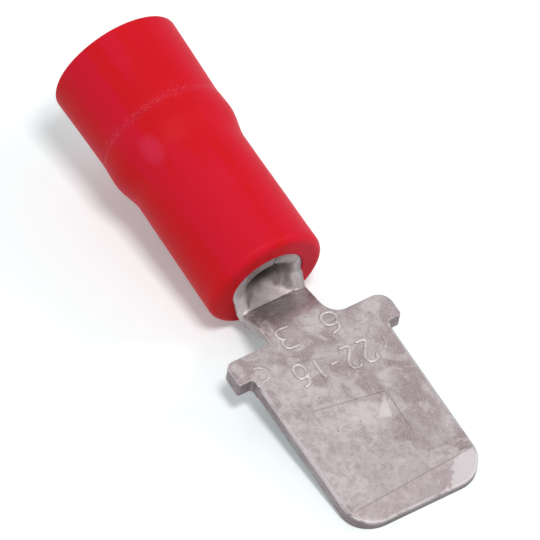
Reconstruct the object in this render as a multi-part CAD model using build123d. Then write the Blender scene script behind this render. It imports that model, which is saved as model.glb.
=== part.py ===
from build123d import *
import math
import os

# Insulated male spade terminal for a crimped wire, in millimetres.
# It is built with the barrel's axis along X, the blade's tip towards +X and the left shoulder's
# front face at x = 0. At the end it is laid down as it comes to rest on a level floor at z = 0.

# Sheet that the terminal is stamped and rolled from
sheet = 0.8

# Blade
blade_width = 6.35
blade_length = 8.2
blade_corner = 1.35
blade_rise = 0.41
edge_break = 0.1
tip_bevel_length = 1.05
tip_bevel_depth = 0.2

# Detent pressed into the blade's upper face
detent_side = 2.4
detent_centre = 4.2
detent_depth = 0.08
detent_floor = 0.3

# Shoulders, of which the right one reaches a little further forward
shoulder_reach = 0.665
shoulder_depth = 1.13
shoulder_stagger = 0.18
shoulder_root = 0.15
left_corner = 0.3
right_corner = 0.65
front_corner = 0.1

# Neck, wider on its left side at the shoulders and on its right side down at the crease
neck_left = 1.65
neck_right = 1.24
neck_length = 1.0
neck_blend = 0.8
left_fillet = 0.25
right_fillet = 0.75
waist_left = 1.36
waist_right = 1.58
waist_blend = 1.5
waist_setback = 3.38
crease_depth = 0.97
crease_bend = 0.45
slope_length = 1.58
slope_bend = 1.2

# Barrel, rolled until its edges butt on top
barrel_bore = 1.7
barrel_length = 6.1
barrel_lead_in = 0.2
seam_gap = 0.06
seam_turn = 12
notch_width = 0.2
notch_depth = 0.12
serration_count = 3
serration_pitch = 1.2
serration_width = 0.4
serration_depth = 0.07

# Bell, where the barrel opens towards the neck
bell_length = 0.95
bell_margin = 0.1
bell_growth = 0.6
bell_inner_radius = 1.5
floor_drop = 0.06
mouth_setback = 3.98
mouth_turn = -0.25
mouth_sweep = 0.5

# Sleeve
sleeve_setback = 3.94
sleeve_length = 12.05
sleeve_fit = 0.02
front_diameter = 5.34
grip_diameter = 5.22
grip_length = 5.95
ridge_diameter = 5.72
ridge_setback = 1.45
waist_diameter = 5.61
step_length = 2.6
rear_diameter = 5.78
insulation_bore = 4.0
funnel_length = 1.4
front_rim = 0.35
rear_rim = 0.15
rear_lead_in = 0.2

# Stations and radii that several features share
bore_radius = barrel_bore / 2
barrel_radius = bore_radius + sheet
crease_x = -waist_setback
bell_x = crease_x - bell_length
mouth_x = -mouth_setback
barrel_rear_x = mouth_x - barrel_length
sleeve_front_x = -sleeve_setback
sleeve_rear_x = sleeve_front_x - sleeve_length
blade_under = blade_rise - sheet
floor_middle = -bore_radius - floor_drop - sheet / 2
crease_middle = -crease_depth - sheet / 2
stub_x = shoulder_stagger + shoulder_root + edge_break
half_blade = blade_width / 2
half_shoulder = half_blade + shoulder_reach
clear = 2 * half_shoulder


def around_axis(x_rear, x_front, radius_rear, radius_front):
    """A round solid on the barrel's axis, from one station and radius to another."""
    corners = [(x_rear, 0), (x_rear, radius_rear), (x_front, radius_front), (x_front, 0)]
    return revolve(make_face(Polyline(corners, close=True)), Axis.X)


def across(outline):
    """The solid whose side view in the XZ plane is the closed outline, wider than the terminal."""
    return extrude(make_face(Plane.XZ * outline), clear, both=True)


def near(shape, x, y):
    """The corner of a flat outline closest to the point."""
    return shape.vertices().sort_by_distance((x, y, 0))[0]


def neck_outline():
    """Barrel, neck and shoulders seen from above, with a stub of the blade."""
    neck_x = -shoulder_depth - neck_length
    bell_half = barrel_radius + bell_margin
    corners = [
        (barrel_rear_x - sheet, bell_half),
        (bell_x, bell_half),
        (crease_x, waist_right),
        (neck_x, neck_right),
        (-shoulder_depth, neck_right),
        (-shoulder_depth, half_shoulder),
        (shoulder_stagger, half_shoulder),
        (shoulder_stagger, half_blade),
        (stub_x, half_blade),
        (stub_x, -half_blade),
        (0, -half_blade),
        (0, -half_shoulder),
        (-shoulder_depth, -half_shoulder),
        (-shoulder_depth, -neck_left),
        (neck_x, -neck_left),
        (crease_x, -waist_left),
        (bell_x, -bell_half),
        (barrel_rear_x - sheet, -bell_half),
    ]
    outline = make_face(Polyline(corners, close=True))
    rounded = (
        (crease_x, waist_right, waist_blend),
        (crease_x, -waist_left, waist_blend),
        (neck_x, neck_right, neck_blend),
        (neck_x, -neck_left, neck_blend),
        (-shoulder_depth, neck_right, right_fillet),
        (-shoulder_depth, -neck_left, left_fillet),
        (-shoulder_depth, half_shoulder, right_corner),
        (-shoulder_depth, -half_shoulder, left_corner),
        (shoulder_stagger, half_shoulder, front_corner),
        (0, -half_shoulder, front_corner),
        (shoulder_stagger, half_blade, shoulder_root),
        (0, -half_blade, shoulder_root),
    )
    for x, y, radius in rounded:
        outline = fillet(near(outline, x, y), radius)
    return outline


def bent_plate():
    """The sheet from the barrel's floor over the crease and up the slope to the blade."""
    path = Plane.XZ * FilletPolyline(
        (bell_x, floor_middle),
        (crease_x, crease_middle),
        (crease_x + slope_length, blade_rise - sheet / 2),
        (stub_x, blade_rise - sheet / 2),
        radius=(crease_bend, slope_bend),
    )
    section = Plane(origin=path @ 0, x_dir=(0, 1, 0), z_dir=path % 0) * Rectangle(clear + sheet, sheet)
    return sweep(section, path)


def envelope():
    """The outside of barrel and bell: round inside the sleeve, then widening towards the crease."""
    tube = around_axis(barrel_rear_x, sleeve_front_x, barrel_radius, barrel_radius)
    return tube + around_axis(sleeve_front_x, crease_x, barrel_radius, barrel_radius + bell_growth)


def wall_side():
    """Barrel and bell seen from the side, with the mouth's edge swept down to the crease."""
    foot = (crease_x, -crease_depth)
    brow = (mouth_x, clear)
    edge = FilletPolyline(brow, (mouth_x, mouth_turn), foot, radius=mouth_sweep)
    rest = Polyline(
        brow,
        (barrel_rear_x, clear),
        (barrel_rear_x, -clear),
        (bell_x, -clear),
        (bell_x, floor_middle),
        (crease_x, crease_middle),
        foot,
    )
    return across(Curve() + edge + rest)


def hollow():
    """The bore with its lead-in and serrations, and the bell that opens from it."""
    cut = around_axis(barrel_rear_x, bell_x, bore_radius, bore_radius)
    cut += around_axis(bell_x, crease_x, bore_radius, bell_inner_radius)
    lead_in_radius = bore_radius + barrel_lead_in
    cut += around_axis(barrel_rear_x, barrel_rear_x + barrel_lead_in, lead_in_radius, bore_radius)
    groove = bore_radius + serration_depth
    first = (barrel_rear_x + bell_x - (serration_count - 1) * serration_pitch - serration_width) / 2
    for number in range(serration_count):
        x = first + number * serration_pitch
        cut += around_axis(x, x + serration_width, groove, groove)
    return cut


def seam():
    """The butt seam near the barrel's top, opening into a small notch at the mouth."""
    half_gap = seam_gap / 2
    half_notch = notch_width / 2
    half = [
        (barrel_rear_x - sheet, half_gap),
        (mouth_x - notch_depth, half_gap),
        (mouth_x, half_notch),
        (crease_x, half_notch),
    ]
    mirrored = [(x, -y) for x, y in reversed(half)]
    return Rot(-seam_turn, 0, 0) * extrude(make_face(Polyline(half + mirrored, close=True)), clear)


def blade():
    """The flat tab with broken edges, rounded corners, bevelled tip and detent."""
    outline = Pos(blade_length / 2, 0) * Rectangle(blade_length, blade_width)
    for y in (-half_blade, half_blade):
        outline = fillet(near(outline, blade_length, y), blade_corner)
    tab = Pos(0, 0, blade_under) * extrude(outline, sheet)
    rims = tab.edges().group_by(Axis.Z)
    tab = chamfer(rims[0] + rims[-1], edge_break)
    bevel_x = blade_length - tip_bevel_length
    past_x = blade_length + tip_bevel_length
    for level, way in ((blade_rise, -1), (blade_under, 1)):
        slope_end = (past_x, level + 2 * way * tip_bevel_depth)
        tab -= across(Polyline((bevel_x, level), slope_end, (past_x, level), close=True))
    recess = loft([
        Pos(detent_centre, 0, blade_rise) * Rectangle(detent_side, detent_side),
        Pos(detent_centre, 0, blade_rise - detent_depth) * Rectangle(detent_floor, detent_floor),
    ])
    return tab - recess


def terminal():
    """The metal terminal, one sheet from the blade's tip to the barrel's rear end."""
    plate = bent_plate()
    walls = (envelope() & wall_side()) - hollow()
    floor = plate & envelope()
    ahead = plate & Pos(crease_x + clear, 0, 0) * Box(2 * clear, 2 * clear, 2 * clear)
    plan = Pos(0, 0, -clear) * extrude(neck_outline(), 2 * clear)
    rolled = (walls + floor + ahead) & plan
    return rolled - seam() + blade()


def sleeve():
    """The vinyl sleeve: a snug grip on the barrel, a ridged step, and a mouth for the insulation."""
    grip_bore = barrel_radius + sleeve_fit
    step_front_x = sleeve_front_x - grip_length
    step_rear_x = step_front_x - step_length
    funnel_x = barrel_rear_x - funnel_length
    step = Spline(
        (step_front_x, grip_diameter / 2),
        (step_front_x - ridge_setback, ridge_diameter / 2),
        (step_rear_x, waist_diameter / 2),
        tangents=[(-1, 0), (-1, 0)],
    )
    rest = Polyline(
        (step_rear_x, waist_diameter / 2),
        (sleeve_rear_x, rear_diameter / 2),
        (sleeve_rear_x, insulation_bore / 2),
        (funnel_x, insulation_bore / 2),
        (barrel_rear_x, grip_bore),
        (sleeve_front_x, grip_bore),
        (sleeve_front_x, front_diameter / 2),
        (step_front_x, grip_diameter / 2),
    )
    outline = make_face(Curve() + step + rest)
    outline = fillet(near(outline, sleeve_front_x, front_diameter / 2), front_rim)
    outline = fillet(near(outline, sleeve_rear_x, rear_diameter / 2), rear_rim)
    outline = chamfer(near(outline, sleeve_rear_x, insulation_bore / 2), rear_lead_in)
    return revolve(outline, Axis.X)


def lying_dip():
    """How far the blade dips when the sleeve's front rim and the blade's tip lie on the floor."""
    run = blade_length - sleeve_front_x + front_rim
    rise = blade_under + tip_bevel_depth + front_diameter / 2 - front_rim
    return math.degrees(math.atan2(rise, run) + math.asin(front_rim / math.hypot(run, rise)))


nodes = {"terminal": terminal(), "insulating_sleeve": sleeve()}
dipped = Rot(0, lying_dip(), 0)
box = Compound([dipped * solid for solid in nodes.values()]).bounding_box()
resting = Pos(-box.center().X, -box.center().Y, -box.min.Z) * dipped
os.makedirs("parts", exist_ok=True)
for name, solid in nodes.items():
    export_step(resting * solid, f"parts/{name}.step")
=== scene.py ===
# %% [markdown]
# An insulated spade terminal on white paper, seen close up.
# The real thing is two pieces: a terminal stamped and rolled from tinned brass sheet, and a soft
# vinyl sleeve pushed over its barrel. The CAD model already has both at their true size, so this
# file gives them a finer surface, a finish, a floor, a light and a camera.
# Sizes below are in millimetres, the way such a part is drawn. One function turns them into
# Blender's metres.

# %% Load the CAD model as the frame
import math

import bmesh
import bpy
import numpy as np
from mathutils import Matrix


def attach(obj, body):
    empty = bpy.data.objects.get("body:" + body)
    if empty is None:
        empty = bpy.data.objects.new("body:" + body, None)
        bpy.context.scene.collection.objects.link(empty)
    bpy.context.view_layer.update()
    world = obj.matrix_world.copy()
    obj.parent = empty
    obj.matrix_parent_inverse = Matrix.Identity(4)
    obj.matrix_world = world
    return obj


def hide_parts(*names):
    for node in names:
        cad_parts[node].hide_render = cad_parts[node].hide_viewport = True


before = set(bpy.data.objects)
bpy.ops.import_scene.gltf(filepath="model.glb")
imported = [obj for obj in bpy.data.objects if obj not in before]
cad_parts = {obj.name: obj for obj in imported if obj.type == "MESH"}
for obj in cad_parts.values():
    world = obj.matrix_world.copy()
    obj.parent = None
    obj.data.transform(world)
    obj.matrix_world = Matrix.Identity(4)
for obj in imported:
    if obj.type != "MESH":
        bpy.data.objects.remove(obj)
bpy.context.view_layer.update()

# %% [markdown]
# The terminal lies nose down on the sleeve's front rim and the blade's tip, so its own axes are
# dipped: x runs along the barrel towards the tip, y across the blade, z out of the blade's upper
# face, and zero is on the barrel's axis below the left shoulder's front face. Every surface is
# worked out in these axes, where its formula is plain, and then laid down.

# %% The terminal's own axes
MILLIMETRE = 0.001
dip = math.radians(11.26083)
own_origin = np.array([4.06812, 0.0, 1.7876])


def laid(points):
    """Own axes in mm to Blender's metres: x turns into x cos(dip) + z sin(dip), z into
    z cos(dip) - x sin(dip), and the origin's place is added."""
    x, y, z = np.moveaxis(np.asarray(points, dtype=float), -1, 0)
    along = x * math.cos(dip) + z * math.sin(dip)
    upward = z * math.cos(dip) - x * math.sin(dip)
    return (np.stack([along, y, upward], axis=-1) + own_origin) * MILLIMETRE


def drawn(points):
    """The way back from laid(): the origin's place is taken off, and the dip is turned back."""
    along, y, upward = np.moveaxis(np.asarray(points, dtype=float) / MILLIMETRE - own_origin, -1, 0)
    x = along * math.cos(dip) - upward * math.sin(dip)
    z = along * math.sin(dip) + upward * math.cos(dip)
    return np.stack([x, y, z], axis=-1)


print("Blade's tip lies at", laid([8.2, 0, 0]).round(5))

# %% [markdown]
# A long lens from far away keeps the tube's sides nearly parallel, as in the photograph. The
# camera's place comes from a fit: the direction it looks from, how many pixels a millimetre
# takes, and the pixel where the own origin appears.

# %% The camera
image_pixels = 540
azimuth, elevation, roll = (math.radians(angle) for angle in (58.16599, 48.25056, -0.42659))
focal_pixels = 24394.7
pixels_per_mm = 24.5428
origin_pixel = (318.351, 353.567)

back = np.array([
    math.sin(azimuth) * math.cos(elevation),
    -math.cos(azimuth) * math.cos(elevation),
    math.sin(elevation),
])
level = np.array([math.cos(azimuth), math.sin(azimuth), 0.0])
upright = np.cross(back, level)
right = math.cos(roll) * level + math.sin(roll) * upright
up = math.cos(roll) * upright - math.sin(roll) * level

offset_right, offset_down = ((pixel - image_pixels / 2) / pixels_per_mm for pixel in origin_pixel)
eye = own_origin - offset_right * right + offset_down * up + focal_pixels / pixels_per_mm * back

lens = bpy.data.cameras.new("camera")
lens.sensor_width = 36.0
lens.lens = lens.sensor_width * focal_pixels / image_pixels
camera = bpy.data.objects.new("camera", lens)
camera.matrix_world = Matrix([
    [right[axis], up[axis], back[axis], eye[axis] * MILLIMETRE] for axis in range(3)
] + [[0, 0, 0, 1]])
bpy.context.scene.collection.objects.link(camera)
bpy.context.scene.camera = camera
bpy.context.scene.view_settings.view_transform = "Standard"
print("Camera is", round(np.linalg.norm(eye) * MILLIMETRE, 3), "m away, lens", round(lens.lens), "mm")

# %% [markdown]
# Finishes are node trees. Small helpers keep them readable: one adds a node and fills its sockets
# with values or with other nodes' outputs, and the rest each stand for one step of a recipe,
# such as arithmetic, a tint, a noise or an outlined patch.

# %% Helpers for node trees
def add(tree, kind, settings=None, **sockets):
    """A new node. settings are its properties; each socket is named with _ for a space and
    takes a value or another node's output."""
    made = tree.nodes.new("ShaderNode" + kind)
    for name, value in (settings or {}).items():
        setattr(made, name, value)
    for name, value in sockets.items():
        socket = made.inputs[name.replace("_", " ")]
        if isinstance(value, bpy.types.NodeSocket):
            tree.links.new(value, socket)
        else:
            socket.default_value = value
    return made


def calc(tree, operation, *values):
    """The output of one Math node."""
    made = tree.nodes.new("ShaderNodeMath")
    made.operation = operation
    for socket, value in zip(made.inputs, values):
        if isinstance(value, bpy.types.NodeSocket):
            tree.links.new(value, socket)
        else:
            socket.default_value = value
    return made.outputs[0]


def tint(tree, colour, mask, strength, other):
    """The colour, turned towards the other one by the mask times the strength."""
    made = add(tree, "Mix", {"data_type": "RGBA"})
    for index, value in ((0, calc(tree, "MULTIPLY", mask, strength)), (6, colour), (7, other)):
        if isinstance(value, bpy.types.NodeSocket):
            tree.links.new(value, made.inputs[index])
        else:
            made.inputs[index].default_value = (*value, 1.0)
    return made.outputs[2]


def window(tree, value, low, high):
    """0 at low, 1 at high, and a smooth step between them. Where low is the larger, it falls."""
    smooth = {"interpolation_type": "SMOOTHSTEP"}
    made = add(tree, "MapRange", smooth, Value=value, From_Min=low, From_Max=high)
    return made.outputs["Result"]


def noise(tree, place, scale, detail=3.0, distortion=0.0):
    """Cloudy noise, with its scale in features to the millimetre."""
    made = add(tree, "TexNoise", Vector=place, Scale=scale, Detail=detail, Distortion=distortion)
    return made.outputs["Fac"]


def stretched(tree, place, share):
    """The place with its x shrunk, so that a noise read there runs lengthwise."""
    separate = add(tree, "SeparateXYZ", Vector=place)
    shrunk = calc(tree, "MULTIPLY", separate.outputs["X"], share)
    return add(tree, "CombineXYZ", X=shrunk, Y=separate.outputs["Y"], Z=separate.outputs["Z"]).outputs[0]


def off_edge(tree, radius):
    """The Bevel node's rounded normal, and how far it leaves the plain one: 1 less their dot
    product, which is 0 on a flat and more within the radius of an edge."""
    rounded_normal = add(tree, "Bevel", {"samples": 6}, Radius=radius * MILLIMETRE).outputs[0]
    agreement = add(tree, "VectorMath", {"operation": "DOT_PRODUCT"})
    tree.links.new(rounded_normal, agreement.inputs[0])
    tree.links.new(add(tree, "NewGeometry").outputs["Normal"], agreement.inputs[1])
    return rounded_normal, calc(tree, "SUBTRACT", 1.0, agreement.outputs["Value"])


def inside(tree, x, y, corners, soft):
    """1 inside a convex outline whose corners run anticlockwise, else 0: the product, over its
    sides, of how far the point is to the side's left, with a soft edge."""
    mask = 1.0
    for (x0, y0), (x1, y1) in zip(corners, corners[1:] + corners[:1]):
        length = math.hypot(x1 - x0, y1 - y0)
        from_y = calc(tree, "MULTIPLY", calc(tree, "SUBTRACT", y, y0), (x1 - x0) / length)
        from_x = calc(tree, "MULTIPLY", calc(tree, "SUBTRACT", x, x0), (y1 - y0) / length)
        to_left = calc(tree, "SUBTRACT", from_y, from_x)
        mask = calc(tree, "MULTIPLY", mask, window(tree, to_left, -soft, soft))
    return mask


def own_place(tree):
    """The shaded point in own axes and millimetres: a Mapping node of type Texture undoes the
    dip and the shift that laid() gives."""
    objects = add(tree, "TexCoord").outputs["Object"]
    mapping = add(tree, "Mapping", {"vector_type": "TEXTURE"}, Vector=objects,
                  Location=own_origin * MILLIMETRE, Rotation=(0, dip, 0), Scale=(MILLIMETRE,) * 3)
    return mapping.outputs["Vector"]


def new_finish(name):
    """An empty material's tree, with its Principled shader joined to the output."""
    finish = bpy.data.materials.new(name)
    finish.use_nodes = True
    tree = finish.node_tree
    tree.nodes.clear()
    shader = add(tree, "BsdfPrincipled")
    add(tree, "OutputMaterial", Surface=shader.outputs[0])
    return finish, tree, shader


print("Node helpers are ready")

# %% [markdown]
# A finish is built up in layers. Each has a mask, which says where it shows, a strength, and the
# colour it turns the surface to. The table gives strength and colour by name, so the recipes
# below read as a list of what has happened to each surface, and of where light and shade are
# painted on it.

# %% The layers of both finishes
layers = {
    # The metal's tarnish and grain
    "rosy ground": (1.0, (0.330, 0.262, 0.285)),
    "clouds": (0.80, (0.520, 0.458, 0.470)),
    "patches": (0.50, (0.66, 0.60, 0.61)),
    "mottle": (0.45, (0.255, 0.195, 0.200)),
    "grain": (0.45, (0.68, 0.62, 0.63)),
    # The metal's wear, and painted shade and painted highlight
    "bevel": (0.42, (0.22, 0.17, 0.175)),
    "rubbed corner": (0.60, (0.66, 0.62, 0.635)),
    "painted highlight on a facet": (0.60, (0.70, 0.65, 0.66)),
    "painted shade line and dark spot": (0.50, (0.20, 0.15, 0.15)),
    "hairline scratch": (0.30, (0.74, 0.69, 0.70)),
    "speck": (0.60, (0.14, 0.11, 0.11)),
    "grime and painted shade beside an edge": (0.35, (0.30, 0.235, 0.24)),
    "painted shade in a corner": (0.60, (0.25, 0.195, 0.195)),
    "rubbed arris with painted highlight": (0.70, (0.80, 0.755, 0.76)),
    # Painted shade and light on the metal's sides and hollows, and its rolling lines
    "painted shade on a cut side": (0.45, (0.22, 0.17, 0.175)),
    "bore": (0.75, (0.10, 0.08, 0.08)),
    "painted shade on the bowl floor": (0.62, (0.13, 0.105, 0.105)),
    "painted light on the bowl's left wall": (0.80, (0.74, 0.68, 0.69)),
    "painted light on the bowl's right wall": (0.35, (0.74, 0.68, 0.69)),
    "rolling line": (0.60, (0.78, 0.71, 0.72)),
    "all of the plate": (0.185, (0.0, 0.0, 0.0)),
    # The vinyl's streaks and wear, and its painted sheen and highlight
    "cooler streak": (1.0, (0.620, 0.0082, 0.026)),
    "painted cooler sheen": (0.8, (0.635, 0.0080, 0.030)),
    "painted highlight patch": (0.75, (0.64, 0.027, 0.070)),
    "rub": (0.35, (0.66, 0.030, 0.075)),
    "near the ring": (0.35, (0.62, 0.012, 0.040)),
    "scuff": (0.5, (0.68, 0.085, 0.130)),
}


def layer(tree, colour, mask, name):
    """The colour with the named layer over it."""
    strength, other = layers[name]
    return tint(tree, colour, mask, strength, other)


print("Layers in the table:", len(layers))

# %% [markdown]
# Tin plate goes dull and cloudy: pale patches over a darker ground that turns from brown to
# rosy, with a mottle and a fine grain in them. Each is a noise, and all but the ground's have a
# window that picks how much of it shows.

# %% Tin plate: clouds and grain
tin, tree, shader = new_finish("dull_tin_plate")
place = own_place(tree)
separate = add(tree, "SeparateXYZ", Vector=place)
own_x, own_y, own_z = (separate.outputs[axis] for axis in "XYZ")
off_middle = calc(tree, "ABSOLUTE", own_y)

brown_ground = (0.315, 0.250, 0.240)
hue = noise(tree, place, 0.9, detail=2.0)
clouds = window(tree, noise(tree, place, 0.45, detail=8.0, distortion=0.9), 0.40, 0.58)
patches = window(tree, noise(tree, place, 0.9, detail=7.0, distortion=1.2), 0.45, 0.60)
mottle = noise(tree, place, 4.0, detail=5.0, distortion=0.7)
grain = noise(tree, place, 17.0, detail=3.0)

colour = layer(tree, brown_ground, hue, "rosy ground")
colour = layer(tree, colour, clouds, "clouds")
colour = layer(tree, colour, patches, "patches")
colour = layer(tree, colour, window(tree, mottle, 0.42, 0.72), "mottle")
colour = layer(tree, colour, window(tree, grain, 0.42, 0.75), "grain")
print("Tin plate's clouds take", len(tree.nodes), "nodes")

# %% [markdown]
# Wear, painted shade and painted highlight that have a place of their own are soft-edged outlines
# in x and y: the rubbed corner at the tip, a painted highlight on a facet of the dimple, painted
# shade along two of the dimple's edges, a dark spot beside the rubbed corner, and painted shade
# along the line where the tip's bevel begins and over the bevel's face past it. That line leans,
# because the tool stood a little askew.

# %% Tin plate: wear, painted shade and painted highlight in their own places
blade_length, half_blade, blade_top = 8.2, 3.175, 0.41
bevel_x, bevel_fall, bevel_lean = 7.15, 0.19, 0.066
rubbed = [(6.95, 2.35), (7.9, 1.35), (8.5, 0.9), (8.5, 3.4), (6.95, 3.4)]
facet = [(3.03, 1.25), (3.88, 0.45), (4.22, 0.90)]
# Painted shade along the bevel's start and two of the dimple's edges, and a dark spot beside the rubbed
# corner
shade_lines_and_spot = [
    [(7.31, -2.75), (7.37, -2.75), (6.99, 3.18), (6.93, 3.18)],  # start of the bevel
    [(2.44, -1.78), (2.50, -1.78), (3.03, 1.29), (2.97, 1.29)],  # dimple, towards the sleeve
    [(3.25, 1.31), (5.12, 1.25), (5.12, 1.31), (3.25, 1.38)],  # dimple, on its right
    [(6.80, 2.50), (6.88, 2.50), (6.98, 3.10), (6.84, 3.12)],  # beside the rubbed corner
]

# How far a point is below the blade's face, which falls away past the start of the bevel
past_bevel = calc(tree, "MAXIMUM", calc(tree, "SUBTRACT", own_x, bevel_x), 0.0)
face = calc(tree, "MULTIPLY_ADD", past_bevel, -bevel_fall, blade_top)
below_face = calc(tree, "SUBTRACT", face, own_z)
on_top = window(tree, below_face, 0.13, 0.09)
upright_x = calc(tree, "MULTIPLY_ADD", own_y, bevel_lean, own_x)
on_bevel = window(tree, upright_x, bevel_x - 0.03, bevel_x + 0.03)

wobble = calc(tree, "MULTIPLY_ADD", mottle, 0.6, -0.3)
worn_x, worn_y = calc(tree, "ADD", own_x, wobble), calc(tree, "ADD", own_y, wobble)
on_corner = calc(tree, "MULTIPLY", on_top, inside(tree, worn_x, worn_y, rubbed, 0.07))

# Painted shade over the bevel's face, past the line where it starts
colour = layer(tree, colour, on_bevel, "bevel")
colour = layer(tree, colour, on_corner, "rubbed corner")
# A painted highlight on one facet of the dimple
colour = layer(tree, colour, inside(tree, own_x, own_y, facet, 0.08), "painted highlight on a facet")
# Painted shade lines at the bevel's start and the dimple's edges, and the dark spot
for corners in shade_lines_and_spot:
    on_line = calc(tree, "MULTIPLY", on_top, inside(tree, own_x, own_y, corners, 0.03))
    colour = layer(tree, colour, on_line, "painted shade line and dark spot")
print("With wear in its places:", len(tree.nodes), "nodes")

# %% [markdown]
# A few hairline scratches run lengthwise, and black specks sit at the middles of some cells of a
# Voronoi pattern, ragged by the grain.

# %% Tin plate: scratches and specks
lengthwise = noise(tree, stretched(tree, place, 0.1), 12.0, detail=2.0, distortion=0.4)
from_middle = add(tree, "TexVoronoi", Vector=place, Scale=1.5).outputs["Distance"]
ragged = calc(tree, "MULTIPLY_ADD", grain, 0.10, from_middle)
colour = layer(tree, colour, window(tree, lengthwise, 0.66, 0.74), "hairline scratch")
colour = layer(tree, colour, window(tree, ragged, 0.130, 0.095), "speck")
print("With scratches and specks:", len(tree.nodes), "nodes")

# %% [markdown]
# Handling rubs the arrises, the blade's rim and the tops of the figures bright, and a painted
# highlight brightens them further. Beside the edges and in creases the metal is darker with grime
# and painted shade, and the corners get painted shade. The Bevel node finds the arrises, because
# its normal leaves the flat one only near an edge. The Ambient Occlusion node finds the corners.
# The blade's rim is found by its distance from the outline's rounded corner: the length of how
# far the point is past the corner's centre in x and in y.

# %% Tin plate: grime, painted shade and painted highlight at the edges
soft_normal, turned = off_edge(tree, 0.07)
near_edge = window(tree, off_edge(tree, 0.28)[1], 0.002, 0.05)
corner_shade = window(tree, add(tree, "AmbientOcclusion", {"samples": 8},
                             Distance=0.35 * MILLIMETRE).outputs["AO"], 0.95, 0.45)
ahead_of_bend = window(tree, own_x, -2.4, -1.6)

arris = calc(tree, "MULTIPLY", window(tree, turned, 0.004, 0.05), window(tree, own_x, -3.6, -1.4))
on_figure = window(tree, own_z, blade_top + 0.015, blade_top + 0.04)
on_figure = calc(tree, "MULTIPLY", on_figure, window(tree, own_x, -2.2, -2.0))

corner_radius = 1.35
past_x = calc(tree, "SUBTRACT", own_x, blade_length - corner_radius)
past_y = calc(tree, "SUBTRACT", off_middle, half_blade - corner_radius)
past_centre = add(tree, "CombineXYZ", X=calc(tree, "MAXIMUM", past_x, 0.0),
                  Y=calc(tree, "MAXIMUM", past_y, 0.0))
reach = add(tree, "VectorMath", {"operation": "LENGTH"})
tree.links.new(past_centre.outputs[0], reach.inputs[0])
rim = window(tree, reach.outputs["Value"], corner_radius - 0.14, corner_radius - 0.07)
rim = calc(tree, "MULTIPLY", calc(tree, "MULTIPLY", rim, on_top), window(tree, own_x, 0.2, 0.4))

less_worn_and_lit = calc(tree, "MULTIPLY", calc(tree, "MAXIMUM", on_figure, rim), 0.55)
most_worn_and_lit = calc(tree, "MAXIMUM", less_worn_and_lit, arris)
bright = calc(tree, "MULTIPLY", most_worn_and_lit, window(tree, mottle, 0.33, 0.52))
grime_and_shade = calc(tree, "MULTIPLY", near_edge, window(tree, mottle, 0.30, 0.55))
# Grime and painted shade beside the edges and in creases
colour = layer(tree, colour, grime_and_shade, "grime and painted shade beside an edge")
# Painted shade in the corners ahead of the bend, found by ambient occlusion
colour = layer(tree, colour, calc(tree, "MULTIPLY", corner_shade, ahead_of_bend), "painted shade in a corner")
# Rubbed wear with a painted highlight on the arrises, the figures' tops and the blade's rim
colour = layer(tree, colour, bright, "rubbed arris with painted highlight")
print("With grime and arrises:", len(tree.nodes), "nodes")

# %% [markdown]
# The sheet's cut sides and underside, and the inside of the bore, get painted shade. The bowl
# between the crease and the bore has painted shade low in its middle and painted light up its
# walls, and rolling drew fine lines along the neck's left side.

# %% Tin plate: painted shade and light on the cut sides, bore and bowl, and rolling lines
cut_side_shade = calc(tree, "MULTIPLY", window(tree, below_face, 0.10, 0.14), window(tree, own_x, -1.4, -0.9))
behind_crease = window(tree, own_x, -3.36, -3.50)
bore_shade = window(tree, own_x, -4.4, -5.0)
bowl_middle = calc(tree, "MULTIPLY", window(tree, worn_y, -1.3, -0.6), window(tree, worn_y, 0.9, 0.2))
low_down = calc(tree, "MULTIPLY", window(tree, own_z, -0.35, -0.75), bowl_middle)
left_wall, right_wall = window(tree, own_y, -0.95, -1.25), window(tree, own_y, 0.95, 1.25)
neck_left_side = calc(tree, "MULTIPLY", window(tree, own_y, -1.0, -1.2), window(tree, own_x, -1.3, -1.6))
rolling = window(tree, noise(tree, stretched(tree, place, 0.10), 5.0, detail=3.0), 0.42, 0.58)

# Painted shade on the cut sides and underside
colour = layer(tree, colour, cut_side_shade, "painted shade on a cut side")
# Painted shade inside the bore
colour = layer(tree, colour, bore_shade, "bore")
# Painted shade low in the bowl's middle, and painted light up its walls
bowl = {"painted shade on the bowl floor": low_down, "painted light on the bowl's left wall": left_wall, "painted light on the bowl's right wall": right_wall}
for name, mask in bowl.items():
    colour = layer(tree, colour, calc(tree, "MULTIPLY", behind_crease, mask), name)
colour = layer(tree, colour, calc(tree, "MULTIPLY", neck_left_side, rolling), "rolling line")

# The plate as a whole reads a little darker than its patches were picked
colour = layer(tree, colour, 1.0, "all of the plate")
print("With sides and hollows:", len(tree.nodes), "nodes")

# %% [markdown]
# The surface is a little uneven, with the same mottle and grain that colour it. Where the clouds
# are pale it is slightly smoother. Old tin is only partly a mirror, so it isn't fully metallic.

# %% Tin plate: its relief and its shine
relief = calc(tree, "ADD", calc(tree, "MULTIPLY", mottle, 0.7), calc(tree, "MULTIPLY", grain, 0.3))
bump = add(tree, "Bump", Strength=0.35, Distance=0.02 * MILLIMETRE, Height=relief, Normal=soft_normal)
roughest, smoother = 0.54, 0.08

tree.links.new(colour, shader.inputs["Base Color"])
tree.links.new(calc(tree, "MULTIPLY_ADD", clouds, -smoother, roughest), shader.inputs["Roughness"])
tree.links.new(bump.outputs[0], shader.inputs["Normal"])
shader.inputs["Metallic"].default_value = 0.62
print("Tin plate has", len(tree.nodes), "nodes")

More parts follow.
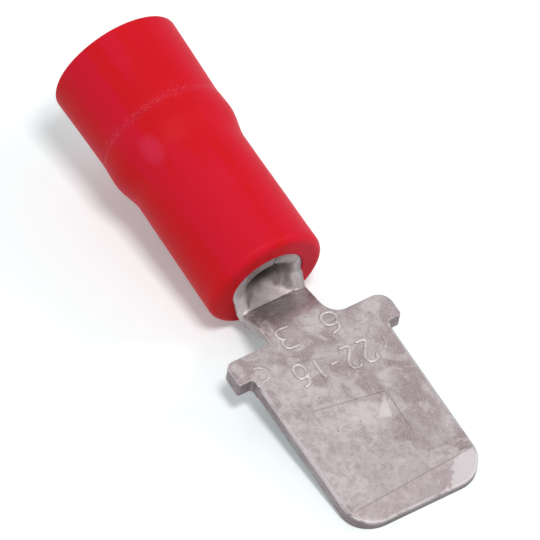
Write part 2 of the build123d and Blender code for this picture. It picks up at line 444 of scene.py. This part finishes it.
# %% [markdown]
# The terminal keeps the CAD's shape. Its mesh is loose triangles, so a copy of it has its doubled
# points merged. Two touches make it this piece and not the drawing: the tip's upper bevel starts
# a little askew, and the neck's lower left edge is rolled in, as the die leaves it. Each is one
# step of numpy on all points. On the bevel's line, x moves back by bevel_lean times y. On the
# neck's left, y moves in by roll_in times two shares from 0 to 1: one rises away from the neck's
# ends, the other from the sheet's middle downwards.

# %% The terminal's points
weld = 0.0005 * MILLIMETRE
cad_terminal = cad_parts["terminal"]
skin_mesh = cad_terminal.data.copy()
shell = bmesh.new()
shell.from_mesh(skin_mesh)
bmesh.ops.remove_doubles(shell, verts=shell.verts, dist=weld)
shell.to_mesh(skin_mesh)
shell.free()

flat_points = np.empty(3 * len(skin_mesh.vertices))
skin_mesh.vertices.foreach_get("co", flat_points)
points = drawn(flat_points.reshape(-1, 3))
x, y, z = points.T

close_by = 0.02
on_bevel_line = (np.abs(x - bevel_x) < close_by) & (z > blade_top - close_by)
points[:, 0] -= on_bevel_line * bevel_lean * y

neck_rear_x, neck_front_x, roll_in = -3.9, -1.15, 0.30
fade_rear, fade_front, fade_down, above_middle = 0.9, 0.5, 0.45, 0.15
sheet_middle = np.interp(x, [-4.33, -3.38, -1.8, -1.0], [-1.31, -1.37, 0.01, 0.01])
along_neck = np.minimum((x - neck_rear_x) / fade_rear, (neck_front_x - x) / fade_front).clip(0, 1)
below_middle = ((sheet_middle + above_middle - z) / fade_down).clip(0, 1)
on_left = y < -1.0
points[:, 1] += roll_in * along_neck * below_middle * on_left
skin_mesh.vertices.foreach_set("co", laid(points).ravel())
print("Points moved:", int((on_bevel_line | (along_neck * below_middle * on_left > 0)).sum()))

# %% [markdown]
# Flat triangles would show as facets on the bends. So the mesh shades smooth, apart from the
# edges that turn by more than a bend's own facets do, and in the bowl, where flaring walls meet
# in coarser steps, apart from the edges that turn by more than 50 degrees. Weighted normals let
# the large flats stay flat, and leave the turning to the small facets of the bends between them.

# %% The terminal's skin
sharp_turn, bowl_turn = math.radians(10.2), math.radians(50)
skin_mesh.materials.clear()
skin_mesh.materials.append(tin)
skin_mesh.shade_smooth()


def sharp_edges(mesh, angle):
    """Which edges turn by more than the angle, marked on the mesh and given as an array."""
    mesh.set_sharp_from_angle(angle=angle)
    marked = np.empty(len(mesh.edges), dtype=bool)
    mesh.attributes["sharp_edge"].data.foreach_get("value", marked)
    return marked


ends = np.empty(2 * len(skin_mesh.edges), dtype=np.int32)
skin_mesh.edges.foreach_get("vertices", ends)
point_in_bowl = (x > -4.6) & (x < -3.42) & (z > -1.05) & (z < 0.6)
in_bowl = point_in_bowl[ends.reshape(-1, 2)].all(axis=1)
crisp, soft = sharp_edges(skin_mesh, sharp_turn), sharp_edges(skin_mesh, bowl_turn)
skin_mesh.attributes["sharp_edge"].data.foreach_set("value", np.where(in_bowl, soft, crisp))
print("Edges smoothed in the bowl:", int((in_bowl & crisp & ~soft).sum()))

skin = bpy.data.objects.new("terminal_skin", skin_mesh)
bpy.context.scene.collection.objects.link(skin)
flats = skin.modifiers.new("flats_stay_flat", "WEIGHTED_NORMAL")
flats.keep_sharp = True
flats.weight = 90
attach(skin, "root")
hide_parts("terminal")
print("Terminal skin has", len(skin_mesh.polygons), "triangles")

# %% [markdown]
# A new surface is a grid of points worked out at once with numpy, and faces that join each point
# to its neighbours. The faces' numbers are arrays too, so nothing loops over the points.

# %% Helpers for grids
def closed_grid(rows, columns):
    """Faces of a grid that closes on itself both ways: point (r, c) has number r * columns + c,
    and each face joins it with the next row and the next column."""
    row, column = np.meshgrid(np.arange(rows), np.arange(columns), indexing="ij")
    next_row, next_column = (row + 1) % rows, (column + 1) % columns
    corners = [(row, column), (next_row, column), (next_row, next_column), (row, next_column)]
    return np.stack([r * columns + c for r, c in corners], axis=-1).reshape(-1, 4)


def new_piece(name, points, faces, finish, slot):
    """A smooth-shaded object on the part's one body, from points in own axes."""
    mesh = bpy.data.meshes.new(name)
    mesh.from_pydata(laid(points).reshape(-1, 3).tolist(), [], [list(face) for face in faces])
    mesh.materials.append(finish)
    shell = bmesh.new()
    shell.from_mesh(mesh)
    bmesh.ops.recalc_face_normals(shell, faces=shell.faces)
    shell.to_mesh(mesh)
    shell.free()
    mesh.shade_smooth()
    mesh.set_sharp_from_angle(angle=sharp_turn)
    made = bpy.data.objects.new(name, mesh)
    bpy.context.scene.collection.objects.link(made)
    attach(made, "root")
    print(name, "has", len(mesh.polygons), "faces")
    return made


print("A grid of 3 rows and 4 columns closes with", len(closed_grid(3, 4)), "faces")

# %% [markdown]
# Vinyl is satin: a strong red with a weak, broad shine. Light enters a little way before it
# comes back, which evens out the shading, so the shader scatters below the surface. Faint cooler
# streaks run lengthwise, the mould's parting ring shows as a scuffed line round the sleeve, and
# handling has left pinkish smears. A cooler painted sheen runs along a streak on the left and over
# the right side, and a pinkish painted highlight sits on the step. A place on the sleeve is given
# by x and by its angle round the axis, which is 0 on top and grows to the right.

# %% Finish: satin red vinyl
vinyl, tree, shader = new_finish("satin_red_vinyl")
place = own_place(tree)
separate = add(tree, "SeparateXYZ", Vector=place)
along, angle = separate.outputs["X"], calc(tree, "ARCTAN2", separate.outputs["Y"], separate.outputs["Z"])
ring_x, streak_angle = -12.2, -0.75
patch_x, patch_angle, patch_shrink_x, patch_shrink_angle = -10.55, -0.70, 1.2, 4.5

grain = noise(tree, place, 8.0, detail=3.0)
flecks = window(tree, noise(tree, place, 14.0, detail=2.0), 0.50, 0.66)
streaks = window(tree, noise(tree, stretched(tree, place, 0.12), 0.8, detail=1.0), 0.47, 0.62)
rubs = window(tree, noise(tree, place, 0.7, detail=3.0, distortion=0.5), 0.56, 0.72)

far_along = calc(tree, "MULTIPLY_ADD", along, patch_shrink_x, -patch_shrink_x * patch_x)
far_around = calc(tree, "MULTIPLY_ADD", angle, patch_shrink_angle, -patch_shrink_angle * patch_angle)
far = calc(tree, "ADD", calc(tree, "POWER", far_along, 2.0), calc(tree, "POWER", far_around, 2.0))
patch = window(tree, calc(tree, "MULTIPLY_ADD", grain, 1.2, far), 1.7, 0.6)
from_streak = calc(tree, "ABSOLUTE", calc(tree, "SUBTRACT", angle, streak_angle))
left_sheen = window(tree, from_streak, 0.16, 0.02)
right_side = window(tree, angle, 0.2, 0.6)
from_ring = calc(tree, "ABSOLUTE", calc(tree, "SUBTRACT", along, ring_x))
near_ring = window(tree, calc(tree, "MULTIPLY_ADD", grain, 0.3, from_ring), 0.50, 0.15)
scuffs = calc(tree, "MULTIPLY", near_ring, flecks)

red = (0.605, 0.0072, 0.0135)
colour = layer(tree, red, streaks, "cooler streak")
# Painted sheen along a streak on the left and over the right side
colour = layer(tree, colour, calc(tree, "MAXIMUM", left_sheen, right_side), "painted cooler sheen")
# A pinkish painted highlight on the step
colour = layer(tree, colour, patch, "painted highlight patch")
colour = layer(tree, colour, calc(tree, "MULTIPLY", rubs, flecks), "rub")
colour = layer(tree, colour, near_ring, "near the ring")
colour = layer(tree, colour, scuffs, "scuff")
height = calc(tree, "ADD", calc(tree, "MULTIPLY", grain, 0.4), calc(tree, "MULTIPLY", scuffs, 0.6))
bump = add(tree, "Bump", Strength=0.20, Distance=0.02 * MILLIMETRE, Height=height)

tree.links.new(colour, shader.inputs["Base Color"])
tree.links.new(calc(tree, "MULTIPLY_ADD", grain, 0.10, 0.46), shader.inputs["Roughness"])
tree.links.new(bump.outputs[0], shader.inputs["Normal"])
shader.inputs["Specular IOR Level"].default_value = 0.08
shader.inputs["Subsurface Weight"].default_value = 0.3
shader.inputs["Subsurface Radius"].default_value = (1.0, 0.15, 0.15)
shader.inputs["Subsurface Scale"].default_value = 0.8 * MILLIMETRE
print("Vinyl has", len(tree.nodes), "nodes")

# %% [markdown]
# The sleeve is a turned shape: one outline, carried round the barrel's axis. The outline runs
# over the front rim, back along the grip, up the step to its ridge, along the wide part, over
# the rear rim, and home through the bore. The step is two Hermite curves, which are level at the
# ridge and at both feet.

# %% The sleeve's outline
front_x, rear_x, barrel_rear_x = -3.94, -15.99, -10.08
foot_x, ridge_x, waist_x, funnel_x = -9.89, -11.34, -12.49, -11.48
front_radius, grip_radius, ridge_radius, waist_radius, rear_radius = 2.67, 2.61, 2.86, 2.805, 2.89
grip_bore, wide_bore, lead_in = 1.67, 2.0, 0.2
front_rim, rear_rim = 0.35, 0.15


def run(start, end, count):
    """Points on a straight run, the last left out."""
    share = np.linspace(0, 1, count, endpoint=False)[:, None]
    return np.array(start) + share * (np.array(end) - np.array(start))


def quarter(centre, radius, start, end, count):
    """Points on an arc: the centre plus the radius times (cos, sin) of an even fan of angles."""
    angle = np.radians(np.linspace(start, end, count, endpoint=False))[:, None]
    return np.array(centre) + radius * np.hstack([np.cos(angle), np.sin(angle)])


def swell(start, end, count):
    """A level-ended rise: the radius follows 3 t^2 - 2 t^3 of the share t of the way."""
    share = np.linspace(0, 1, count, endpoint=False)
    eased = 3 * share**2 - 2 * share**3
    shares = np.stack([share, eased], axis=-1)
    return np.array(start) + shares * (np.array(end) - np.array(start))


outline = np.vstack([
    run((front_x, grip_bore), (front_x, front_radius - front_rim), 8),
    quarter((front_x - front_rim, front_radius - front_rim), front_rim, 0, 90, 12),
    run((front_x - front_rim, front_radius), (foot_x, grip_radius), 50),
    swell((foot_x, grip_radius), (ridge_x, ridge_radius), 24),
    swell((ridge_x, ridge_radius), (waist_x, waist_radius), 18),
    run((waist_x, waist_radius), (rear_x + rear_rim, rear_radius), 34),
    quarter((rear_x + rear_rim, rear_radius - rear_rim), rear_rim, 90, 180, 8),
    run((rear_x, rear_radius - rear_rim), (rear_x, wide_bore + lead_in), 6),
    run((rear_x, wide_bore + lead_in), (rear_x + lead_in, wide_bore), 4),
    run((rear_x + lead_in, wide_bore), (funnel_x, wide_bore), 14),
    run((funnel_x, wide_bore), (barrel_rear_x, grip_bore), 10),
    run((barrel_rear_x, grip_bore), (front_x, grip_bore), 20),
])
print("Sleeve outline has", len(outline), "points")

# %% [markdown]
# Carried round, the outline gets what a moulded tube has: a fine groove at the parting ring, and
# a skin that waves by a hundredth of a millimetre, so its shine isn't a ruler line. The groove is
# its depth times exp(-(distance from the ring / its width)^2), and the wave is two sines round
# the tube that drift along it. Both stay within the CAD's outline, and the bore has neither.

# %% The sleeve
groove_depth, groove_width, inset, steps_round = 0.022, 0.07, 0.010, 160
around = np.linspace(0, 2 * math.pi, steps_round, endpoint=False)
x, radius = outline[:, :1], outline[:, 1:]
outside = (radius > 2.5).astype(float)
groove = groove_depth * np.exp(-(((x - ring_x) / groove_width) ** 2))
wave = 0.006 * np.sin(3 * around + 0.9 * x) + 0.004 * np.sin(7 * around - 1.7 * x + 1.0)
bent = radius + outside * (wave - inset - groove)
everywhere_x = np.broadcast_to(x, bent.shape)
sleeve_points = np.stack([everywhere_x, bent * np.sin(around), bent * np.cos(around)], axis=-1)
sleeve = new_piece("sleeve_skin", sleeve_points, closed_grid(*bent.shape), vinyl, "red_vinyl")
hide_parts("insulating_sleeve")
print("Sleeve's outer radius, mm:", round(float(bent.max()), 3))

# %% [markdown]
# The press has raised two rows of figures on the blade: the tab's width and the range of wire
# sizes. They are ridges, a rounded profile carried along each figure's stroke. A stroke is a few
# corners on a unit square, rounded by cutting each corner at a quarter of its sides three times
# over.

# %% Strokes for the raised figures
strokes = {
    "1": [(0.22, 0.78), (0.5, 1.0), (0.5, 0.0)],
    "2": [(0.0, 0.72), (0.1, 1.0), (0.9, 1.02), (1.0, 0.66), (0.5, 0.35), (0.0, 0.0), (1.0, 0.0)],
    "3": [(0.0, 1.0), (0.95, 1.02), (0.95, 0.55), (0.35, 0.53), (1.0, 0.5), (1.0, 0.0), (0.0, 0.0)],
    "6": [(0.9, 1.0), (0.2, 0.85), (-0.05, 0.0), (1.0, -0.05), (1.0, 0.6), (0.2, 0.6), (0.04, 0.3)],
    "-": [(0.1, 0.48), (0.9, 0.48)],
    ".": [(0.48, 0.0), (0.52, 0.0)],
}


def rounded(corners, passes=3):
    """Each pass puts two points on every side, at a quarter and three quarters, and keeps the ends."""
    path = np.array(corners, dtype=float)
    for _ in range(passes):
        near = 0.75 * path[:-1] + 0.25 * path[1:]
        far = 0.25 * path[:-1] + 0.75 * path[1:]
        path = np.vstack([path[:1], np.stack([near, far], axis=1).reshape(-1, 2), path[-1:]])
    return path


def even(path, count):
    """The same path with its points at even distances."""
    step = np.linalg.norm(np.diff(path, axis=0), axis=1)
    travelled = np.concatenate([[0.0], np.cumsum(step)])
    stations = np.linspace(0, travelled[-1], count)
    return np.stack([np.interp(stations, travelled, path[:, axis]) for axis in (0, 1)], axis=-1)


print("Figures with a stroke:", " ".join(strokes))

# %% [markdown]
# The blade's upper face is level in own axes up to the bend, where it falls away as a circle
# does, by the distance squared over twice the bend's radius. Each ridge's middle line lies on
# that face, so half of it is sunk in the metal and no gap shows.

# %% Ridges on the blade
bend_start_x, bend_radius = -1.35, 1.6


def face_height(x):
    """Height of the blade's upper face over the barrel's axis, at x."""
    return blade_top - np.maximum(0.0, bend_start_x - x) ** 2 / (2 * bend_radius)


def ridge(path, half_width, height, sides=10):
    """Points and faces of a closed ridge. Ring k is the path's point k plus half_width times
    cos(a) across the path and height times sin(a) upwards, shrunk at both ends as a circle is, so
    that the ends are round, and closed by a point at each end."""
    count = len(path)
    tangent = np.gradient(path, axis=0)
    tangent /= np.linalg.norm(tangent, axis=1, keepdims=True)
    across = np.stack([-tangent[:, 1], tangent[:, 0]], axis=-1)
    travelled = np.concatenate([[0.0], np.cumsum(np.linalg.norm(np.diff(path, axis=0), axis=1))])
    to_end = np.minimum(travelled, travelled[-1] - travelled)
    full = np.sqrt(1 - (1 - np.clip(to_end / half_width, 0.15, 1.0)) ** 2)[:, None]
    angle = np.linspace(0, 2 * math.pi, sides, endpoint=False)
    sideways = full * half_width * np.cos(angle)
    plan = path[:, None, :] + sideways[..., None] * across[:, None, :]
    lift = face_height(plan[..., 0]) + full * height * np.sin(angle)
    rings = np.concatenate([plan, lift[..., None]], axis=-1).reshape(-1, 3)
    ends = path[[0, -1]] - tangent[[0, -1]] * np.array([[0.1], [-0.1]]) * half_width
    poles = np.column_stack([ends, face_height(ends[:, 0])])
    row, column = np.meshgrid(np.arange(count - 1), np.arange(sides), indexing="ij")
    after = (column + 1) % sides
    quads = np.stack([row * sides + column, (row + 1) * sides + column,
                      (row + 1) * sides + after, row * sides + after], axis=-1).reshape(-1, 4)
    here = np.arange(sides)
    there, last = (here + 1) % sides, (count - 1) * sides
    first_pole, last_pole = np.full(sides, count * sides), np.full(sides, count * sides + 1)
    first_cap = np.stack([here, there, first_pole], axis=-1)
    last_cap = np.stack([last + there, last + here, last_pole], axis=-1)
    return np.vstack([rings, poles]), [*quads.tolist(), *first_cap.tolist(), *last_cap.tolist()]


def joined(ridges):
    """Several ridges as one set of points and faces."""
    points, faces, start = [], [], 0
    for ridge_points, ridge_faces in ridges:
        points.append(ridge_points)
        faces += [[start + number for number in face] for face in ridge_faces]
        start += len(ridge_points)
    return np.vstack(points), faces


print("Blade top at the second row:", face_height(1.0))

# %% [markdown]
# Seen from the sleeve, the figures stand on their heads: they are read from the right shoulder
# to the left, with their tops towards the blade's tip. The stamp sat a little askew, so each row
# leans. Two shallow arcs beside them are where the die's holding pins bore on the shoulders.

# %% The raised figures
stroke_points = 40


def row_of_figures(text, base_x, lean, start_y, pitch, width, height):
    """Ridge paths for a text: reading runs along -y from start_y, tops point to +x, and the
    whole row moves forward by lean for each mm towards +y."""
    paths = []
    for place_in_row, figure in enumerate(text):
        path = even(rounded(strokes[figure]), stroke_points)
        y = start_y - place_in_row * pitch - path[:, 0] * width
        paths.append(np.stack([base_x + lean * y + path[:, 1] * height, y], axis=-1))
    return paths


tab_width = row_of_figures("6.3", base_x=-1.45, lean=0.12, start_y=1.46,
                           pitch=1.02, width=0.66, height=1.0)
wire_range = row_of_figures("22-16", base_x=0.36, lean=0.07, start_y=1.95,
                            pitch=0.74, width=0.52, height=1.08)
figures = joined([ridge(path, half_width=0.085, height=0.05) for path in tab_width + wire_range])
new_piece("raised_figures", *figures, tin, "tinned_metal")

pin_arcs = [
    [(-0.45, -2.95), (-0.38, -2.60), (-0.06, -2.45), (0.26, -2.55), (0.30, -2.95)],
    [(0.70, 2.64), (1.05, 2.60), (1.28, 2.35)],
]
arc_paths = [even(rounded(corners), stroke_points) for corners in pin_arcs]
pin_marks = joined([ridge(path, half_width=0.08, height=0.03) for path in arc_paths])
new_piece("pin_marks", *pin_marks, tin, "tinned_metal")

# %% [markdown]
# The paper is bright white. It glows a little to the camera and in reflections, which lifts it
# to white while the shadow under the part stays, and it lights nothing by that glow. The studio
# round it is one even white, to the eye as in the metal's reflections, and as a light it is
# weaker, so that most of the light comes from the lamps.

# %% Floor and world
def seen(tree):
    """1 for rays from the camera, from glossy faces or through clear ones, else 0."""
    rays = add(tree, "LightPath")
    either = calc(tree, "MAXIMUM", rays.outputs["Is Camera Ray"], rays.outputs["Is Glossy Ray"])
    return calc(tree, "MAXIMUM", either, rays.outputs["Is Transmission Ray"])


paper = bpy.data.materials.new("white_paper")
paper.use_nodes = True
tree = paper.node_tree
tree.nodes.clear()
paper_low, paper_high = (0.82, 0.87, 0.875), (0.84, 0.89, 0.895)
glow_colour, glow_level = (0.86, 0.98, 1.0), 0.22
fibre = noise(tree, add(tree, "TexCoord").outputs["Object"], 900.0, detail=2.0)
matte = add(tree, "BsdfDiffuse", Color=tint(tree, paper_low, fibre, 1.0, paper_high))
glow_strength = calc(tree, "MULTIPLY", seen(tree), glow_level)
glow = add(tree, "Emission", Color=(*glow_colour, 1), Strength=glow_strength)
both = add(tree, "AddShader")
tree.links.new(matte.outputs[0], both.inputs[0])
tree.links.new(glow.outputs[0], both.inputs[1])
add(tree, "OutputMaterial", Surface=both.outputs[0])

half_floor = 1.5
floor_mesh = bpy.data.meshes.new("floor")
corner = np.array([(-1, -1, 0), (1, -1, 0), (1, 1, 0), (-1, 1, 0)]) * half_floor
floor_mesh.from_pydata(corner.tolist(), [], [(0, 1, 2, 3)])
floor_mesh.materials.append(paper)
floor = bpy.data.objects.new("floor", floor_mesh)
bpy.context.scene.collection.objects.link(floor)

world = bpy.data.worlds.new("studio")
bpy.context.scene.world = world
world.use_nodes = True
tree = world.node_tree
tree.nodes.clear()
ambient = 0.30
strength = calc(tree, "MULTIPLY_ADD", seen(tree), 1.0 - ambient, ambient)
sky = add(tree, "Background", Color=(0.98, 0.99, 1.0, 1), Strength=strength)
add(tree, "OutputWorld", Surface=sky.outputs[0])
print("As a light, the studio's strength is", ambient)

# %% [markdown]
# The strongest lamp hangs high, a little towards the blade's tip, and is small enough to draw
# the shadow's edge. A softer one stands to the right of the terminal, a large weak one fills
# from behind the sleeve, and the weakest, low on the left, leaves a faint streak along it.

# %% Lamps
def soft_lamp(name, towards, distance, size, level, colour):
    """A square area lamp that stands in a direction from the object, at a distance in metres,
    and faces it. Level is the share of white that it adds to a white face square on, so its
    watts are level times pi^2 times the distance squared."""
    direction = np.array(towards, dtype=float)
    direction /= np.linalg.norm(direction)
    lamp = bpy.data.lights.new(name, "AREA")
    lamp.size = size
    lamp.energy = level * math.pi**2 * distance**2
    lamp.color = colour
    made = bpy.data.objects.new(name, lamp)
    side = np.cross([0.0, 0.0, 1.0], direction)
    side /= np.linalg.norm(side)
    above = np.cross(direction, side)
    made.matrix_world = Matrix([
        [side[axis], above[axis], direction[axis], direction[axis] * distance] for axis in range(3)
    ] + [[0, 0, 0, 1]])
    bpy.context.scene.collection.objects.link(made)
    print(name, "gives", round(lamp.energy, 3), "W")


warm, plain, rosy = (1.0, 0.98, 0.975), (1.0, 0.99, 0.98), (1.0, 0.97, 0.98)
soft_lamp("high_front", (0.40, -0.08, 0.90), distance=0.30, size=0.06, level=0.56, colour=warm)
soft_lamp("right_side", (0.35, 0.75, 0.55), distance=0.30, size=0.12, level=0.25, colour=warm)
soft_lamp("high_rear", (-0.6, -0.1, 0.8), distance=0.35, size=0.25, level=0.14, colour=plain)
soft_lamp("low_left", (-0.312, -0.784, 0.534), distance=0.30, size=0.16, level=0.06, colour=rosy)
